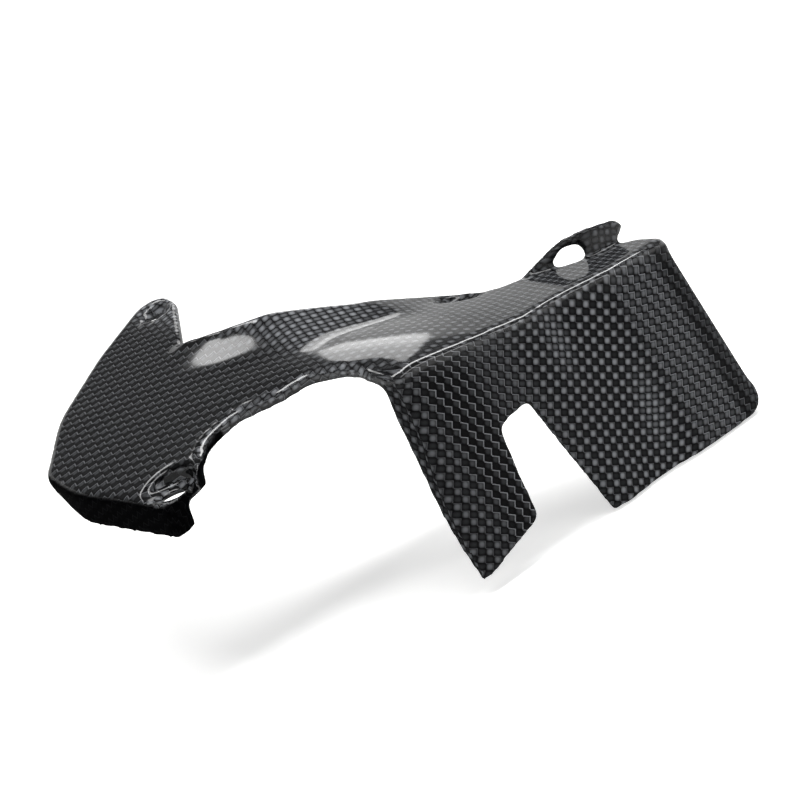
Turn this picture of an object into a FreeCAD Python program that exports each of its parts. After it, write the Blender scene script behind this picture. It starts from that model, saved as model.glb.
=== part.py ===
import FreeCAD, Part
import math
import os
from FreeCAD import Placement, Rotation, Vector

# Motorcycle sprocket cover: one moulded carbon-fibre shell, in millimetres.
# +Z is the way the bolt heads face, away from the engine. Z = 0 is the outer face of the flat
# platform, Y = 0 the fold where the platform turns down into the front wall, and X runs along
# that fold to the right, from the point where the wall's main crease starts.

# Shell
skin = 2.0                  # laminate thickness
lip_depth = 3.6             # turned-down rim, from the outer face
skirt_depth = 9.5           # deeper rim round the left end
return_depth = 6.0          # how far the wall's two side edges turn back
edge_radius = 4.5           # rounding of the wall's two upright edges
lap = 1.0                   # depth below the outer face at which joined pieces overlap
mould_depth = 80.0          # size of the form that the shell is cut from
mould_height = 26.5
reach = 200.0               # far outside the part on every side
grid_step = 5.0             # spacing of the points that the outer face runs through
grid_x = (-146.0, 60.0)
grid_y = (-46.0, 145.0)

# Left plate: a plane that climbs to the right and to the back
plate_point = Vector(0.0, 0.0, 25.5)
plate_slopes = (0.302, 0.134)

# Shoulder between the left plate and the platform
shoulder_front = 3.2        # height at the wall fold
shoulder_swell = 6.8        # height that it gains towards the back
shoulder_reach = 18.0       # distance over which it gains most of that
shoulder_x = -62.0          # from here it falls to the right
shoulder_fall = 0.17
blend_height = 5.0          # height over which two slopes run into each other
platform_blend = 2.5

# Raised bridge behind the crease, and the wing beyond it: slopes along X and Y, each through a point
scoop_point = Vector(-80.0, 66.0, 8.0)
scoop_slopes = (0.652, 0.267)
facet_point = Vector(-59.9, 62.9, 17.2)
facet_slopes = (-0.02, 0.45)
runout_point = Vector(-43.0, 52.7, 12.3)
runout_slopes = (-0.345, 0.30)
step_point = Vector(-90.0, 76.5, 7.5)
step_slopes = (0.72, 0.70)
ridge_blend = 2.0
crease_blend = 0.8
bridge_end_point = Vector(-77.0, 91.0, 14.5)
bridge_end_slopes = (0.3, -1.2)
end_point = Vector(-77.0, 75.0, 12.3)
end_slopes = (-1.0, -0.36)
end_release = 2.2           # the wing's inner edge runs out over this slope
end_margin = 5.0

# Plan outline of the shell: corners with their rounding, counter-clockwise from the flap.
# The wall's front and right side are cut separately, so the outline stands clear of them.
clear_front = -40.0
clear_left = -95.0
clear_right = 60.0
plan_corners = [
    (clear_left, clear_front, 0),
    (clear_right, clear_front, 0),
    (clear_right, 6.0, 0),
    (30.5, 7.5, 2),
    (25.0, 17.6, 1.5),
    (14.8, 18.4, 2),
    (-1.5, 34.0, 3),
    (-8.2, 34.6, 4),
    (-8.8, 46.0, 5),
    (-14.0, 52.5, 5),
    (-43.0, 52.7, 10),
    (-64.0, 65.5, 8),
    (-77.3, 91.0, 1.5),
    (-60.5, 118.5, 14),
    (-57.0, 137.8, 7.5),
    (-88.0, 126.5, 50),
    (-112.0, 112.5, 30),
    (-129.5, 91.5, 8),
    (-131.5, 72.0, 60),
    (-125.8, 30.5, 3.5),
    (-117.0, 31.5, 3),
    (-104.5, 41.2, 7),
    (-95.5, 40.5, 8),
    (-86.0, 31.5, 6),
    (-78.5, 28.0, 5),
    (-73.0, 16.5, 7),
    (-80.0, 10.0, 2),
    (clear_left, 10.0, 0),
]
skirt_region = [(-140, 20), (-120, 20), (-120, 95), (-140, 95)]
skirt_end = Vector(0, 95.0, -4.0)   # the skirt's lower edge climbs to the lip here
skirt_rise = 0.43

# Front wall: upright lines along which it is folded. For each one: its place at the fold, its
# lean to the right going down, and how far it stands out from the wall's plane at the fold,
# half way down and at the bottom.
wall_draft = math.tan(math.radians(5))
wall_mid = 28.0
wall_bottom = 58.0
wall_lines = [
    (-160.0, 0.00, 0.0, 0.0, 0.0),
    (-47.0, 0.00, 0.0, 0.0, 0.0),
    (-38.0, 0.08, 0.0, -0.7, -0.9),
    (-21.0, 0.04, -0.9, 0.2, 1.8),
    (-8.0, 0.14, 0.0, 0.5, 0.6),
    (1.0, 0.20, 1.0, 1.602, 2.247),
    (90.0, 0.30, -2.56, -2.07, -1.545),
]
wall_right = 28.0           # right edge at the fold
wall_right_lean = 0.25
wall_corner_radius = 9.0
flap_left = -78.2           # left edge of the flap at the fold
flap_left_lean = 0.115
flap_room_back = 12.0       # behind this the flap's side plane has no effect
flap_taper = 0.19           # how fast the flap's turned-back side narrows going down
flap_taper_start = 10.0
upright_turn = 0.7          # an upright edge turns by more than this in X
wall_left = -95.0
notch_left = -52.0
wall_start = -30.0
wall_right_foot = 44.0      # right edge at the wall's bottom

# Lower edge of the wall, with the flap and the notch beside it: X, depth, rounding
wall_edge = [
    (-71.5, 55.0, 2.5),
    (-48.2, 48.3, 2.5),
    (-48.9, 22.6, 1.5),
    (-37.6, 21.0, 2.0),
    (-25.8, wall_bottom, 1.5),
    (wall_right_foot, wall_bottom, wall_corner_radius),
]

# Bolt holes along Z, each in a round recessed seat
bolt_diameter = 6.6
bolt_seats = [               # X, Y, seat diameter, seat depth
    (-16.0, 41.0, 13.0, 2.4),
    (-119.6, 38.2, 13.0, 2.6),
    (-67.0, 122.8, 10.0, 1.2),
]

# Guide loop that stands on the back edge of the platform: a strap with a window, then a tab
loop_thickness = 2.0
loop_start = Vector(-1.5, 34.0, 0.0)
loop_bend = Vector(14.8, 18.4, 0.0)
strap_outline = [              # distance along the strap, height, rounding
    (1.5, -1.5, 0),
    (23.2, -1.5, 0),
    (23.2, 8.4, 0),
    (17.0, 7.9, 6),
    (11.8, 5.6, 8),
    (2.0, 0.2, 4),
]
window_outline = [(10.9, 0.2, 0.5), (22.0, 0.2, 0.5), (20.8, 4.6, 1.5), (15.8, 4.6, 1.5)]
tab_outline = [
    (0, -1.5, 0),
    (10.5, -1.5, 0),
    (10.8, 0.5, 1),
    (15.5, 3.9, 1.2),
    (12.0, 6.9, 3),
    (0, 8.4, 0),
]


def smooth_min(a, b, height):
    overlap = max(height - abs(a - b), 0.0) / height
    return min(a, b) - overlap * overlap * height / 4


def smooth_max(a, b, height):
    return -smooth_min(-a, -b, height)


def slope_z(point, slopes, x, y):
    return point.z + slopes[0] * (x - point.x) + slopes[1] * (y - point.y)


def top_z(x, y):
    """Height of the outer face: left plate, shoulder and platform, with the bridge raised on them."""
    swell = shoulder_swell * (1 - math.exp(-max(y, -5.0) / shoulder_reach))
    fall = smooth_min(0.0, -shoulder_fall * (x - shoulder_x), blend_height)
    shoulder = shoulder_front + swell + fall
    plate = slope_z(plate_point, plate_slopes, x, y)
    base = smooth_min(plate, shoulder, blend_height)
    if x > shoulder_x:
        base = smooth_max(base, 0.0, platform_blend)
    bridge = slope_z(scoop_point, scoop_slopes, x, y)
    bridge = smooth_min(bridge, slope_z(facet_point, facet_slopes, x, y), ridge_blend)
    bridge = smooth_min(bridge, slope_z(runout_point, runout_slopes, x, y), ridge_blend)
    bridge = smooth_min(bridge, slope_z(bridge_end_point, bridge_end_slopes, x, y), ridge_blend)
    wing = smooth_min(plate, slope_z(step_point, step_slopes, x, y), ridge_blend)
    wing_end = slope_z(end_point, end_slopes, x, y) + end_release * max(0.0, y - end_point.y - end_margin)
    wing = smooth_min(wing, wing_end, ridge_blend)
    return smooth_max(base, smooth_max(bridge, wing, crease_blend), crease_blend)


def half_space(point, normal):
    """A big block that ends at the plane through point, on the side away from normal."""
    block = Part.makeBox(2 * reach, 2 * reach, reach, Vector(-reach, -reach, -reach))
    block.Placement = Placement(point, Rotation(Vector(0, 0, 1), normal))
    return block


def rounded_wire(corners, place):
    """Closed wire through corners (a, b, radius); place turns (a, b) into a point in space."""
    edges = []
    points = [Vector(a, b, 0) for a, b, radius in corners]
    count = len(points)
    ends = []
    for i in range(count):
        radius = corners[i][2]
        back = (points[i - 1] - points[i]).normalize()
        ahead = (points[(i + 1) % count] - points[i]).normalize()
        half = back.getAngle(ahead) / 2
        if radius:
            run = radius / math.tan(half)
            middle = (back + ahead).normalize() * (radius / math.sin(half) - radius)
            ends.append((points[i] + back * run, points[i] + middle, points[i] + ahead * run))
        else:
            ends.append((points[i], None, points[i]))
    for i in range(count):
        start, middle, finish = [p and place(p.x, p.y) for p in ends[i]]
        if middle:
            edges.append(Part.Arc(start, middle, finish).toShape())
        following = place(ends[(i + 1) % count][0].x, ends[(i + 1) % count][0].y)
        edges.append(Part.LineSegment(finish, following).toShape())
    return Part.Wire(edges)


def plan_prism(wire_or_face):
    face = wire_or_face if wire_or_face.ShapeType == "Face" else Part.Face(wire_or_face)
    return face.extrude(Vector(0, 0, mould_depth + mould_height))


def region_prism(points):
    corners = [(x, y, 0) for x, y in points]
    return plan_prism(rounded_wire(corners, lambda x, y: Vector(x, y, -mould_depth)))


def moved(shape, x, y, z):
    copy = shape.copy()
    copy.translate(Vector(x, y, z))
    return copy


def top_sheet(start, end):
    """The outer face, far larger than the part, lowered by start and thickened down to end."""
    columns = [grid_x[0] + grid_step * i for i in range(int((grid_x[1] - grid_x[0]) / grid_step) + 1)]
    rows = [grid_y[0] + grid_step * j for j in range(int((grid_y[1] - grid_y[0]) / grid_step) + 1)]
    surface = Part.BSplineSurface()
    surface.interpolate([[Vector(x, y, top_z(x, y) - start) for y in rows] for x in columns])
    return surface.toShape().extrude(Vector(0, 0, start - end))


def panel(points):
    return Part.Face(Part.makePolygon(points + points[:1]))


def wall_block():
    """Everything behind the folded front of the wall, as a solid with flat faces."""
    depths = (-mould_height, wall_mid, mould_depth)
    columns = []
    for x, lean, out_top, out_mid, out_low in wall_lines:
        outs = (
            out_mid + (out_top - out_mid) * (wall_mid - depths[0]) / wall_mid,
            out_mid,
            out_mid + (out_low - out_mid) * (depths[2] - wall_mid) / (wall_bottom - wall_mid),
        )
        columns.append([Vector(x + lean * d, -out - wall_draft * d, -d) for d, out in zip(depths, outs)])
    faces = []
    for a, b in zip(columns, columns[1:]):
        for i in range(2):
            faces.append(panel([a[i], a[i + 1], b[i + 1]]))
            faces.append(panel([a[i], b[i + 1], b[i]]))
    first, last = columns[0], columns[-1]
    rear = [Vector(p.x, reach, p.z) for p in (first[0], last[0], last[2], first[2])]
    faces.append(panel([c[0] for c in columns] + [rear[1], rear[0]]))
    faces.append(panel([c[2] for c in columns] + [rear[2], rear[3]]))
    faces.append(panel(rear))
    faces.append(panel(first + [rear[3], rear[0]]))
    faces.append(panel(last + [rear[2], rear[1]]))
    return Part.makeSolid(Part.makeShell(faces))


def rim_form(plan, wall, inset):
    """Upright solid inside the plan outline, behind the wall and between its two rounded sides."""
    right = half_space(Vector(wall_right - inset, 0, 0), Vector(1, 0, wall_right_lean))
    left = half_space(Vector(flap_left + inset, 0, 0), Vector(-1, 0, -flap_left_lean))
    beside_flap = region_prism([
        (2 * clear_left, 2 * clear_front),
        (0, 2 * clear_front),
        (0, flap_room_back),
        (2 * clear_left, flap_room_back),
    ]).cut(left)
    form = plan_prism(plan).common(wall).common(right).cut(beside_flap).removeSplitter()
    corners = []
    for edge in form.Edges:
        facing = [face.normalAt(0, 0).x for face in form.ancestorsOfType(edge, Part.Face)]
        turns = max(facing) - min(facing) > upright_turn
        if turns and edge.Length > mould_depth and edge.CenterOfMass.y < edge_radius - 1:
            corners.append(edge)
    return form.makeFillet(edge_radius - inset, corners)


os.makedirs("parts", exist_ok=True)

# Rim: everything between the outer form and the hollow one skin inside it
outline = Part.Face(rounded_wire(plan_corners, lambda x, y: Vector(x, y, -mould_depth)))
wall = wall_block()
form = rim_form(outline, wall, 0)
hollow = rim_form(outline.makeOffset2D(-skin), moved(wall, 0, skin, 0), skin)
rim = form.cut(hollow)

# Top skin with its short turned-down lip
shell = top_sheet(0, lip_depth).common(form)
shell = shell.cut(top_sheet(skin, mould_depth / 2).common(hollow))

# Front wall with the flap, the notch and the turned-back sides
wall_lean_top = wall_right_foot - (wall_bottom - wall_start) * wall_right_lean
wall_corners = [(wall_left, wall_start, 0), (wall_left, wall_edge[0][1], 0)]
wall_corners += wall_edge + [(wall_lean_top, wall_start, 0)]
wall_face = Part.Face(rounded_wire(wall_corners, lambda x, depth: Vector(x, clear_front, -depth)))
front = rim.common(wall_face.extrude(Vector(0, return_depth - clear_front, 0)))
flap_side = half_space(Vector(0, return_depth, -flap_taper_start), Vector(0, 1, -flap_taper))
beside_notch = region_prism([
    (wall_left, clear_front),
    (notch_left, clear_front),
    (notch_left, flap_room_back),
    (wall_left, flap_room_back),
])
front = front.cut(beside_notch.cut(flap_side))
shell = shell.fuse(front.common(top_sheet(lap, mould_depth)))

# Deeper skirt round the left end
skirt = rim.common(region_prism(skirt_region)).cut(half_space(skirt_end, Vector(0, -skirt_rise, 1)))
shell = shell.fuse(skirt.common(top_sheet(lap, skirt_depth)))

# Bolt seats and holes
for x, y, diameter, depth in bolt_seats:
    floor = top_z(x, y) - depth
    cup = Part.makeCylinder(diameter / 2 + skin, mould_height, Vector(x, y, floor - skin))
    shell = shell.fuse(cup.common(form).common(top_sheet(lap, mould_depth)))
    shell = shell.cut(Part.makeCylinder(diameter / 2, mould_height, Vector(x, y, floor)))
    shell = shell.cut(Part.makeCylinder(bolt_diameter / 2, mould_depth, Vector(x, y, floor - mould_depth / 2)))

# Guide loop: the strap with its window cut out, then the tab
along = (loop_bend - loop_start).normalize()
across = Vector(along.y, -along.x, 0)
strap_face, window_face = [
    Part.Face(rounded_wire(corners, lambda s, z: loop_start + along * s + Vector(0, 0, z)))
    for corners in (strap_outline, window_outline)
]
strap = strap_face.cut(window_face).extrude(across * loop_thickness)
tab_face = Part.Face(rounded_wire(tab_outline, lambda s, z: loop_bend + Vector(s, 0, z)))
shell = shell.fuse(strap.fuse(tab_face.extrude(Vector(0, -loop_thickness, 0)))).removeSplitter()

# The origin is the platform's bolt hole, at the floor of its seat
x, y, diameter, depth = bolt_seats[0]
shell.translate(-Vector(x, y, top_z(x, y) - depth))
shell.exportStep("parts/sprocket_cover.step")
print(shell.isValid(), len(shell.Solids), round(shell.Volume), shell.BoundBox)
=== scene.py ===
import bpy, bmesh
import math
import numpy as np
from mathutils import Matrix, Vector
from mathutils.bvhtree import BVHTree
from mathutils.kdtree import KDTree


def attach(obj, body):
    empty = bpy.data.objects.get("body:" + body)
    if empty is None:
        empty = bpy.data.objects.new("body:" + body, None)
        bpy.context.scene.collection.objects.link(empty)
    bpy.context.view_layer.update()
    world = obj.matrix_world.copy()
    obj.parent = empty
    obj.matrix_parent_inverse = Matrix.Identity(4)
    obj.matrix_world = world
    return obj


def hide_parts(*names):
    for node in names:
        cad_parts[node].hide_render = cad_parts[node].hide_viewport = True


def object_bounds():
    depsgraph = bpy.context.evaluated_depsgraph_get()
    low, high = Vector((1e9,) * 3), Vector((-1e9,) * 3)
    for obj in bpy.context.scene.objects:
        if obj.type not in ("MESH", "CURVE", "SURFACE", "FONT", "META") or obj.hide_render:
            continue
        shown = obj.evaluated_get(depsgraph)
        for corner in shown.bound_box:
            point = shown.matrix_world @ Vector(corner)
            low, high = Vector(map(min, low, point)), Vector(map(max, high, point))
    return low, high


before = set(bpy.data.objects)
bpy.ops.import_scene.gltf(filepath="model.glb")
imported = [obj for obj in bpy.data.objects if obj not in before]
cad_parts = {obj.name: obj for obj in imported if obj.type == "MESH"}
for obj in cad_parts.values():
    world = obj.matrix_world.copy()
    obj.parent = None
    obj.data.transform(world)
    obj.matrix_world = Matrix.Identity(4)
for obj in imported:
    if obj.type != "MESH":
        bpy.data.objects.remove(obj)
cad_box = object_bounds()


# Cover shell. One sheet of plain-weave carbon fibre in epoxy, laid up in a mould as a stepped plate
# and folded down into the front wall, then trimmed and drilled. Its folds and trimmed edges are softly
# rounded and its panels run smoothly into each other, so a fine mesh is wrapped on the solid.
mm = 0.001
fold_point = Vector((16.0, -41.0, 0.8136)) * mm      # where the wall's main crease meets the fold
grain = 0.69 * mm                                     # spacing of the fine mesh
edge_angle = math.radians(28)                         # a sharper bend than this counts as an edge
edge_round = 0.8                                      # radius of a trimmed edge, in mm
rim_round = 1.6                                       # of the plate's turned-down rim
lip_round = 3.0                                       # of the rolled lip along the arch
fold_round = 2.4                                      # of the fold into the wall
flap_trim = 4.0                                       # the flap's upper left corner is trimmed by this
join_reach = 4.0                                      # how far the lip runs into the flap's side
join = (-76, 10)                                      # where it does; places are mm from the fold point
lip_x, lip_y = (-110, -62), (9, 50)                   # stretch of the arch's lip
fold_x, fold_y = -80, 9                               # the fold is to the right and in front of these
loop_x, loop_y = -6, 8                                # the loop is to the right and behind these
corner_x, corner_y, corner_z = (-64, -77), (19, 9), (-48, -3)  # over which the flap's trim grows
scoop, scoop_reach = (-76, 70), (13, 9)               # middle and reach of the scoop's even hollow
weld = 0.002 * mm                                     # points closer than this are one
edge_step = 0.4 * mm                                  # spacing of the points that mark an edge

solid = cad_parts["sprocket_cover"]
shell_mesh = solid.data.copy()
shell = bpy.data.objects.new("carbon_cover", shell_mesh)
bpy.context.collection.objects.link(shell)

build = bmesh.new()
build.from_mesh(shell_mesh)
bmesh.ops.remove_doubles(build, verts=build.verts, dist=weld)
bmesh.ops.recalc_face_normals(build, faces=build.faces)
solid_tree = BVHTree.FromBMesh(build)
edge_points, edge_frames = [], []
for edge in build.edges:
    if len(edge.link_faces) == 2 and edge.calc_face_angle() > edge_angle:
        start, end = edge.verts[0].co, edge.verts[1].co
        steps = max(1, int((end - start).length / edge_step))
        edge_points += [start.lerp(end, i / steps) for i in range(steps + 1)]
        faces = sorted((face.normal.copy() for face in edge.link_faces), key=lambda n: -n.z)
        edge_frame = (*faces[0], *faces[1], *(end - start).normalized(), edge.is_convex)
        edge_frames += [edge_frame] * (steps + 1)
build.to_mesh(shell_mesh)
build.free()
edge_tree = KDTree(len(edge_points))
for i, point in enumerate(edge_points):
    edge_tree.insert(point, i)
edge_tree.balance()

remesh = shell.modifiers.new("follow", "REMESH")
remesh.mode = "VOXEL"
remesh.voxel_size = grain
graph = bpy.context.evaluated_depsgraph_get()
fine_mesh = bpy.data.meshes.new_from_object(shell.evaluated_get(graph))
shell.modifiers.clear()
shell.data = fine_mesh
bpy.data.meshes.remove(shell_mesh)

count = len(fine_mesh.vertices)
spots = np.empty(count * 3)
fine_mesh.vertices.foreach_get("co", spots)
spots = spots.reshape(-1, 3)
edges = np.empty(len(fine_mesh.edges) * 2, dtype=int)
fine_mesh.edges.foreach_get("vertices", edges)
edges = edges.reshape(-1, 2)
valence = np.bincount(edges.ravel(), minlength=count)[:, None]


def eased(values, share, turns):
    """Points drawn towards the middle of their neighbours, each by its share, turn after turn."""
    for turn in range(turns):
        total = np.zeros_like(values)
        for side in range(3):
            total[:, side] = np.bincount(edges[:, 0], values[edges[:, 1], side], count)
            total[:, side] += np.bincount(edges[:, 1], values[edges[:, 0], side], count)
        values = values + share * (total / valence - values)
    return values


def soft_step(value, start, end):
    part = np.clip((value - start) / (end - start), 0, 1)
    return part * part * (3 - 2 * part)


# Every point goes onto the solid, and then, near a sharp edge, onto the rounding that touches both faces.
spots = np.array([solid_tree.find_nearest(Vector(spot))[0] for spot in spots])
nearest_edge = [edge_tree.find(Vector(spot)) for spot in spots]
edge_at = np.array([found[0] for found in nearest_edge])
near = np.array([found[2] for found in nearest_edge]) / mm
edge_frames = np.array(edge_frames)[[found[1] for found in nearest_edge]]
upper_way, lower_way, edge_way = edge_frames[:, 0:3], edge_frames[:, 3:6], edge_frames[:, 6:9]
x, y, z = ((edge_at - np.array(fold_point)) / mm).T
# An edge on top has one face upwards and the other not downwards.
on_top = (upper_way[:, 2] > 0.6) & (lower_way[:, 2] > -0.3)
on_lip = on_top & (x > lip_x[0]) & (x < lip_x[1]) & (y > lip_y[0]) & (y < lip_y[1])
on_fold = on_top & (x > fold_x) & (y < fold_y)
on_loop = (x > loop_x) & (y > loop_y)
radius = np.select([on_loop, on_lip, on_fold, on_top], [edge_round, lip_round, fold_round, rim_round],
                   edge_round)[:, None] * mm
bend_edge = (on_lip | on_fold) & ~on_loop
middle_way = upper_way + lower_way
cosine = np.sum(upper_way * lower_way, axis=1)[:, None]
axis = edge_at - middle_way * radius / (1 + cosine)
out = spots - axis
slide = np.sum(out * edge_way, axis=1)[:, None] * edge_way
out = out - slide
length = np.linalg.norm(out, axis=1)[:, None] + 1e-9
middle_way = middle_way / np.linalg.norm(middle_way, axis=1)[:, None]
within = np.sum(out / length * middle_way, axis=1) >= np.sum(upper_way * middle_way, axis=1)
rounded = (edge_frames[:, 9] > 0) & within & (length > radius)[:, 0] & (near < 2.5 * radius[:, 0] / mm)
spots = np.where(rounded[:, None], axis + out / length * radius + slide, spots)
x, y, z = ((spots - np.array(fold_point)) / mm).T
# The flap's corner is trimmed, and the points are eased where the real sheet has no edge.
by_corner = soft_step(x, *corner_x) * soft_step(y, *corner_y) * soft_step(z, *corner_z)
spots[:, 0] += flap_trim * mm * by_corner
by_edge = soft_step(near, 2.5, 1.0)[:, None]
from_join = (x - join[0]) ** 2 + (y - join[1]) ** 2 + z ** 2
by_join = np.exp(-from_join / (2 * join_reach ** 2))[:, None]
scoop_x, scoop_y = (x - scoop[0]) / scoop_reach[0], (y - scoop[1]) / scoop_reach[1]
by_scoop = np.exp(-scoop_x ** 2 / 2 - scoop_y ** 2 / 2)[:, None]
on_panel = soft_step(near, 2.0, 5.0)[:, None]
spots = eased(spots, 0.4 * by_edge + 0.1, 14)              # takes the ripples out of trimmed edges
spots = eased(spots, 0.5 * by_join, 60)                    # runs the lip into the flap
spots = eased(spots, 0.5 * on_panel, 60)                   # runs the panels into each other
spots = eased(spots, 0.5 * on_panel * by_scoop, 700)       # makes the scoop one even hollow
fine_mesh.vertices.foreach_set("co", spots.ravel())
fine_mesh.update()
fine_mesh.shade_smooth()

# The cloth, laid flat: the plate as seen from above, and the wall, lips and skirt unfolded from its
# rim. One unit of the cloth map is one tow, so the weave keeps its real size all over.
tow_width = 2.25            # pitch of the warp tows in mm
weft_width = 1.95           # and of the wefts
wall_skew, plate_skew = 0.46, 0.31      # how far the tows lean on the wall and on the plate
warp_squeeze, weft_squeeze = 0.92, 0.95  # a leaning tow measures less across itself than along the sheet
wall_lean = 0.0875          # the wall leans by five degrees
level_at = -20              # the wefts of wall and plate meet here along the fold
normals = np.empty(count * 3)
fine_mesh.vertices.foreach_get("normal", normals)
nx, ny, nz = normals.reshape(-1, 3).T
x, y, z = ((spots - np.array(fold_point)) / mm).T
fold_height = np.interp(x, [-74.5, -68, -60, -57, -46, -38], [4.4, 4.2, 3.2, 2.5, 0.6, 0.0])
in_wall = (y < 9) & (z < fold_height - 1.2) & (x > -80)
drop = np.where(in_wall, fold_height - z, 0.0)
side_face = ~in_wall & (np.abs(nz) < 0.55)
for i in np.nonzero(side_face)[0]:
    out = Vector((nx[i], ny[i], 0)).normalized()
    start = Vector(spots[i]) - out * mm
    hit = solid_tree.ray_cast(start, Vector((0, 0, 1)), 12 * mm)
    drop[i] = hit[3] / mm if hit[0] else 0.0
    if x[i] > -5 and z[i] > 0.3:
        drop[i] = -z[i]
flat = np.hypot(nx, ny) + 1e-9
turned = np.where(np.abs(nx) > 0.75, np.sign(nx) * (y + wall_lean * drop), 0)
across = x + np.where(in_wall, turned, np.where(side_face, nx / flat * drop, 0))
down = np.where(in_wall, -drop, y + np.where(side_face, ny / flat * drop, 0))

on_wall = soft_step(down, 4, -8)
run = np.linspace(-200, 200, 801)
sink = np.cumsum(np.interp(run, [-4, 10], [0.44, 0.22])) * (run[1] - run[0])
sink -= np.interp(level_at, run, sink) - level_at * plate_skew
warp = on_wall * (across - wall_skew * down) + (1 - on_wall) * (across - plate_skew * down)
weft = on_wall * (down + np.interp(across, run, sink)) + (1 - on_wall) * (down + plate_skew * across)
cloth = np.stack([warp * warp_squeeze / tow_width, weft * weft_squeeze / weft_width], axis=1)
cloth_map = fine_mesh.uv_layers.new(name="cloth")
corners = np.empty(len(fine_mesh.loops), dtype=int)
fine_mesh.loops.foreach_get("vertex_index", corners)
cloth_map.data.foreach_set("uv", cloth[corners].ravel())

# Painted sheen: how brightly the tows are painted, standing in for how they catch the light. It changes from
# panel to panel as the cloth turns: painted shine on the wefts in the middle of the wall, painted glints on
# the tow edges of the flap and right panel. Inside and skirt came off no polished mould.
column_slant = 0.2          # the wall's panels run down at this slant
columns = [-80, -72, -66, -56, -50, -42, -35, -8, -1, 2, 17, 20, 23, 27]    # from the flap to the right side
# painted sheen of the wefts, the warps and the tow-edge glints in each wall column
wall_wefts = [.5, .5, .12, .15, .3, .4, .85, 1, .8, .5, .5, .15, .15, .4]
wall_warps = [.08, .08, .01, .02, .12, .16, .06, .05, .05, .24, .24, .03, .03, .2]
wall_rims = [.2, .3, .9, .9, .7, .6, .3, .25, .3, .8, .8, .5, .3, .2]
painted_wall_highlights = [(-22, -10, 3, 7), (-1, -39, 3.5, 9)]   # soft painted highlights on the wall: middle x and z, reach in x and z
painted_highlight_strength = 0.55
plates = [-95, -78, -70, -45, -36]              # from the left plate to the platform
facet_left, facet_right, facet_front = (-74, -66), (-38, -48), (38, 48)     # where the bridge's facet gets painted sheen
seat, seat_radius = (-119.6, 38.2), 6.7         # the corner bolt's seat
skirt_x, skirt_y = -100, 22                     # the skirt is to the left and behind these
wall_polish = 0.07                              # the wall mirrors far less than the plate
inside_bare = 0.87                              # the inside is nearly as dull as the skirt

column = across + column_slant * down
weft_wall = np.interp(column, columns, wall_wefts)
warp_wall = np.interp(column, columns, wall_warps)
rim_wall = np.interp(column, columns, wall_rims)
# soft painted highlights, standing in for lamp reflections on the wall
for middle_x, middle_z, reach_x, reach_z in painted_wall_highlights:
    warp_wall += painted_highlight_strength * np.exp(-((x - middle_x) / reach_x) ** 2 - ((z - middle_z) / reach_z) ** 2)
# painted sheen of the wefts and warps in each plate zone
weft_plate = np.interp(x, plates, [.16, .16, .45, .5, .5])
warp_plate = np.interp(x, plates, [.02, .02, .1, .1, .22])
# painted sheen on the bridge's facet, standing in for the light it catches
painted_facet_sheen = soft_step(x, *facet_left) * soft_step(x, *facet_right) * soft_step(y, *facet_front)
weft_plate += 0.5 * painted_facet_sheen
warp_plate += 0.4 * painted_facet_sheen
# painted sheen along the rolled lip of the arch
painted_lip_sheen = np.where(on_lip, soft_step(near, 3.6, 2.6), 0)
weft_plate += 0.7 * painted_lip_sheen
warp_plate += 0.35 * painted_lip_sheen
# painted tow-edge glints in each plate zone
rim_plate = np.interp(x, plates, [.45, .45, .2, .1, .1])
below_fold = soft_step(down, 1.5, -1.5)
from_seat = np.hypot(x - seat[0], y - seat[1])
on_skirt = soft_step(nz, 0.75, 0.45) * (x < skirt_x) * (y > skirt_y) * (from_seat > seat_radius)
inside = np.where(in_wall, ny > 0.6, nz < -0.45)
bare = np.maximum(on_skirt, inside_bare * inside)
# painted highlight on the upper flank of the corner bolt's seat
painted_flank_sheen = soft_step(from_seat, 7.2, 6.4) * soft_step(from_seat, 3.2, 4.0) * (nz > 0.2)
weft_plate += 0.6 * painted_flank_sheen
panel_polish = np.interp(x, plates, [.52, .52, .6, .6, .4]) * (1 - on_wall) + wall_polish * on_wall
on_bend = np.where(bend_edge, soft_step(near, 3.4, 2.4), 0)
# the painted sheen goes into the colour through these layers; polish is the coat's weight
lights = {
    "painted_weft_sheen": (below_fold * weft_wall + (1 - below_fold) * weft_plate) * (1 - 0.97 * bare),
    "painted_warp_sheen": (below_fold * warp_wall + (1 - below_fold) * warp_plate) * (1 - 0.97 * bare),
    "painted_rim_glint": (below_fold * rim_wall + (1 - below_fold) * rim_plate) * (1 - 0.95 * bare),
    "polish": np.maximum(panel_polish, on_bend) * (1 - 0.98 * bare),
}
for name, values in lights.items():
    layer = fine_mesh.attributes.new(name, "FLOAT", "POINT")
    layer.data.foreach_set("value", values)


def linear(hex_colour):
    parts = [int(hex_colour[i:i + 2], 16) / 255 for i in (1, 3, 5)]
    return tuple(c / 12.92 if c <= 0.04045 else ((c + 0.055) / 1.055) ** 2.4 for c in parts) + (1.0,)


def add_node(tree, kind, sockets=(), **settings):
    """A node with its settings; a socket takes a number or a colour, or is linked to an output."""
    node = tree.nodes.new(kind)
    for name, value in settings.items():
        setattr(node, name, value)
    for name, value in (sockets.items() if isinstance(sockets, dict) else enumerate(sockets)):
        if isinstance(value, bpy.types.NodeSocket):
            tree.links.new(value, node.inputs[name])
        else:
            node.inputs[name].default_value = value
    return node.outputs


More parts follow.
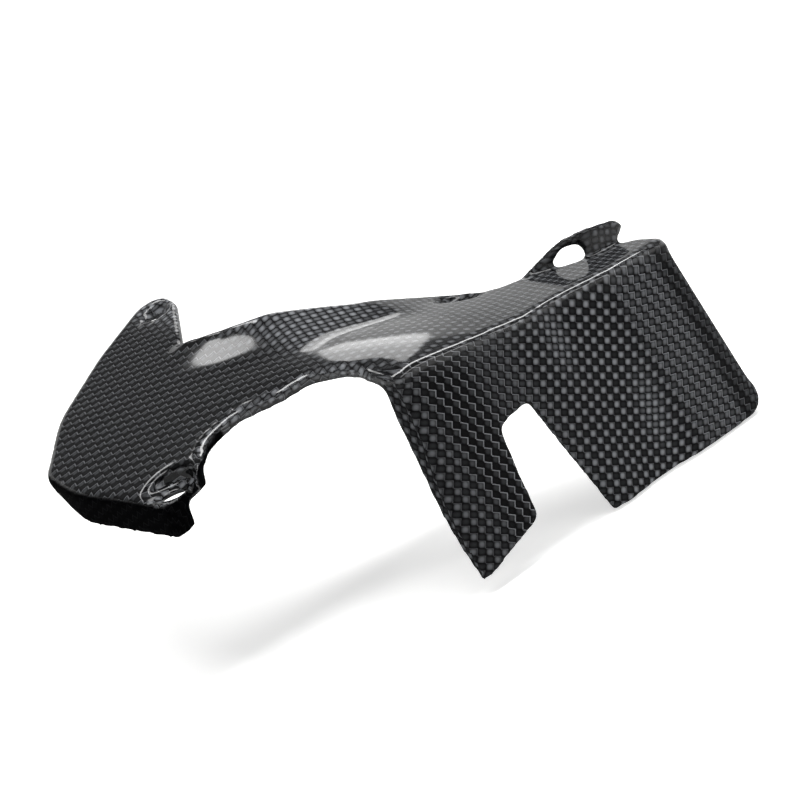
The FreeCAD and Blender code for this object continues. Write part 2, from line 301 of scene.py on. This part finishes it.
# Plain-weave carbon fibre under clear epoxy: black tows with a painted grey sheen along each fibre, thin
# painted glints where one tow dips under the next, and a smooth clear gloss over all of it.
carbon = bpy.data.materials.new("plain_weave_carbon_in_clear_epoxy")
carbon.use_nodes = True
tree = carbon.node_tree
tree.nodes.clear()
cloth_at = add_node(tree, "ShaderNodeUVMap", uv_map="cloth")[0]
p, q = add_node(tree, "ShaderNodeSeparateXYZ", [cloth_at])[:2]
warp_count = add_node(tree, "ShaderNodeMath", [p], operation="FLOOR")[0]
weft_count = add_node(tree, "ShaderNodeMath", [q], operation="FLOOR")[0]
cell = add_node(tree, "ShaderNodeMath", [warp_count, weft_count], operation="ADD")[0]
weft_over = add_node(tree, "ShaderNodeMath", [cell, 2.0], operation="FLOORED_MODULO")[0]
p_part = add_node(tree, "ShaderNodeMath", [p], operation="FRACT")[0]
q_part = add_node(tree, "ShaderNodeMath", [q], operation="FRACT")[0]
a = add_node(tree, "ShaderNodeMath", [p_part, 0.5], operation="SUBTRACT")[0]
b = add_node(tree, "ShaderNodeMath", [q_part, 0.5], operation="SUBTRACT")[0]
along = add_node(tree, "ShaderNodeMix", {0: weft_over, 2: a, 3: b})[0]
beside = add_node(tree, "ShaderNodeMix", {0: weft_over, 2: b, 3: a})[0]
along_turn = add_node(tree, "ShaderNodeMath", [along, 2.9], operation="MULTIPLY")[0]
beside_turn = add_node(tree, "ShaderNodeMath", [beside, 2.75], operation="MULTIPLY")[0]
along_wave = add_node(tree, "ShaderNodeMath", [along_turn], operation="COSINE")[0]
rise = add_node(tree, "ShaderNodeMath", [along_wave, 0.55], operation="POWER")[0]
round_back = add_node(tree, "ShaderNodeMath", [beside_turn], operation="COSINE")[0]
height = add_node(tree, "ShaderNodeMath", [rise, round_back], operation="MULTIPLY")[0]
bump = add_node(tree, "ShaderNodeBump", {"Strength": 1.0, "Distance": 0.14 * mm, "Height": height})[0]
body = add_node(tree, "ShaderNodeMapRange", {"Value": height, "From Min": 0.3, "From Max": 0.95})[0]
painted_weft_sheen = add_node(tree, "ShaderNodeAttribute", attribute_name="painted_weft_sheen")["Fac"]
painted_warp_sheen = add_node(tree, "ShaderNodeAttribute", attribute_name="painted_warp_sheen")["Fac"]
painted_rim_glint = add_node(tree, "ShaderNodeAttribute", attribute_name="painted_rim_glint")["Fac"]
polish = add_node(tree, "ShaderNodeAttribute", attribute_name="polish")["Fac"]
painted_tow_sheen = add_node(tree, "ShaderNodeMix", {0: weft_over, 2: painted_warp_sheen, 3: painted_weft_sheen})[0]
painted_silk_sheen = add_node(tree, "ShaderNodeMath", [body, painted_tow_sheen], operation="MULTIPLY")[0]
# painted glints: thin bright lines along the top and right edges of each weft cell
nearest = add_node(tree, "ShaderNodeMath", [a, b], operation="MAXIMUM")[0]
rim_line = add_node(tree, "ShaderNodeMapRange", {"Value": nearest, "From Min": 0.30, "From Max": 0.44})[0]
rim_cell = add_node(tree, "ShaderNodeMath", [rim_line, weft_over], operation="MULTIPLY")[0]
rim = add_node(tree, "ShaderNodeMath", [rim_cell, painted_rim_glint], operation="MULTIPLY")[0]
light = add_node(tree, "ShaderNodeMath", [painted_silk_sheen, rim], operation="MAXIMUM")[0]
# black tow colour with the painted sheen and glints mixed in as grey
tow_colour = add_node(tree, "ShaderNodeMix", {0: light, 6: linear("#020203"), 7: linear("#85878B")},
                      data_type="RGBA")[2]
shader = add_node(tree, "ShaderNodeBsdfPrincipled", {
    "Base Color": tow_colour, "Roughness": 0.4, "IOR": 1.45, "Specular IOR Level": 0.0,
    "Normal": bump, "Coat Weight": polish, "Coat Roughness": 0.08, "Coat IOR": 1.5})[0]
add_node(tree, "ShaderNodeOutputMaterial", [shader])
fine_mesh.materials.clear()
fine_mesh.materials.append(carbon)
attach(shell, "root")
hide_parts("sprocket_cover")


# Studio floor and backdrop: one matt white paper sweep, far larger than the cover that stands on it,
# curved up on every side. It shows white where it is seen or mirrored, and keeps the shadow.
sweep_radius = 1.4
sweep_curve = 0.6
sweep_top = 1.0
near_part, far_part = 0.3, 1.0          # the paper's own glow grows between these distances
near_glow, far_glow = 0.5, 0.7
floor_level = cad_box[0][2]
sweep_mesh = bpy.data.meshes.new("paper_sweep")
sweep = bpy.data.objects.new("paper_sweep", sweep_mesh)
bpy.context.collection.objects.link(sweep)
build = bmesh.new()
rings = []
for bend in [math.radians(degrees) for degrees in range(0, 81, 8)]:
    radius = sweep_radius + sweep_curve * math.sin(bend)
    level = floor_level + sweep_curve * (1 - math.cos(bend))
    rings.append([build.verts.new((radius * math.cos(t), radius * math.sin(t), level))
                  for t in [math.radians(degrees) for degrees in range(0, 360, 6)]])
rings.append([build.verts.new((vert.co.x, vert.co.y, sweep_top)) for vert in rings[-1]])
build.faces.new(rings[0])
for lower, upper in zip(rings, rings[1:]):
    for i in range(len(lower)):
        j = (i + 1) % len(lower)
        build.faces.new((lower[i], upper[i], upper[j], lower[j]))
build.to_mesh(sweep_mesh)
build.free()
sweep_mesh.shade_smooth()
# Matt white paper: an even white with no shine.
paper = bpy.data.materials.new("matt_white_paper")
paper.use_nodes = True
tree = paper.node_tree
tree.nodes.clear()
rays = add_node(tree, "ShaderNodeLightPath")
seen = add_node(tree, "ShaderNodeMath", [rays["Is Camera Ray"], rays["Is Glossy Ray"]],
                operation="MAXIMUM")[0]
seen = add_node(tree, "ShaderNodeMath", [seen, rays["Is Transmission Ray"]], operation="MAXIMUM")[0]
place = add_node(tree, "ShaderNodeNewGeometry")["Position"]
far = add_node(tree, "ShaderNodeVectorMath", [place], operation="LENGTH")["Value"]
lift = add_node(tree, "ShaderNodeMapRange", {"Value": far, "From Min": near_part, "From Max": far_part,
                                              "To Min": near_glow, "To Max": far_glow})[0]
glow = add_node(tree, "ShaderNodeMath", [seen, lift], operation="MULTIPLY")[0]
shader = add_node(tree, "ShaderNodeBsdfPrincipled", {
    "Base Color": linear("#F4F4F3"), "Roughness": 0.95, "Emission Color": linear("#FFFFFF"),
    "Emission Strength": glow})[0]
add_node(tree, "ShaderNodeOutputMaterial", [shader])
sweep_mesh.materials.append(paper)


# Studio light: long soft strips overhead and in front, which draw the folds and lips, two small soft
# boxes whose reflections lie on the scoop and the shoulder, and a dim white room.
def soft_box(name, shape, spot, aim, width, length, watts, roll=0.0):
    """An area lamp at a spot that faces its aim, all in metres, rolled by some degrees."""
    lamp = bpy.data.lights.new(name, "AREA")
    lamp.shape = shape
    lamp.size = width
    lamp.size_y = length
    lamp.energy = watts
    box = bpy.data.objects.new(name, lamp)
    bpy.context.collection.objects.link(box)
    back = (Vector(spot) - Vector(aim)).normalized()
    side = (Vector((1, 0, 0)) - back * back.x).normalized()
    axes = Matrix((side, back.cross(side), back)).transposed().to_4x4()
    box.matrix_world = Matrix.Translation(spot) @ axes @ Matrix.Rotation(math.radians(roll), 4, "Z")


soft_box("overhead_strip", "RECTANGLE", (0.25, 0.0, 0.85), (0.25, 0.0, 0.0), 1.3, 0.20, 10.0)
soft_box("front_strip", "RECTANGLE", (0.20, -0.60, 0.50), (0.0, 0.0, 0.0), 0.7, 0.10, 1.0)
soft_box("scoop_lamp", "ELLIPSE", (-0.045, 0.524, 0.573), (-0.06, 0.028, 0.013), 0.22, 0.08, 0.38, 50)
soft_box("shoulder_lamp", "ELLIPSE", (0.345, 0.504, 0.362), (-0.049, -0.026, 0.006), 0.28, 0.21, 0.5, 58)
world = bpy.data.worlds.new("dim_white_room")
world.use_nodes = True
room = world.node_tree.nodes["Background"].inputs
room["Color"].default_value = linear("#FFFFFF")
room["Strength"].default_value = 0.26
bpy.context.scene.world = world
bpy.context.scene.view_settings.view_transform = "Standard"


# Camera, where the photograph was taken from: in front of the wall, to its left and a little above,
# close enough for a clear perspective. Its axes are those that set the CAD on the photograph.
film_width = 36
focal_pixels, picture_pixels = 1418.0, 800
camera_from_fold = Vector((-253.55, -273.73, 80.05)) * mm
right = Vector((0.73861, -0.58704, -0.33141))
lower = Vector((-0.41412, -0.00719, -0.91019))
ahead = Vector((0.53194, 0.80953, -0.24842))
lens = bpy.data.cameras.new("camera")
lens.sensor_width = film_width
lens.lens = film_width * focal_pixels / picture_pixels
lens.clip_start = 0.01
camera = bpy.data.objects.new("camera", lens)
bpy.context.collection.objects.link(camera)
spot = fold_point + camera_from_fold
axes = Matrix((right, -lower, -ahead)).transposed().to_4x4()
camera.matrix_world = Matrix.Translation(spot) @ axes
bpy.context.scene.camera = camera
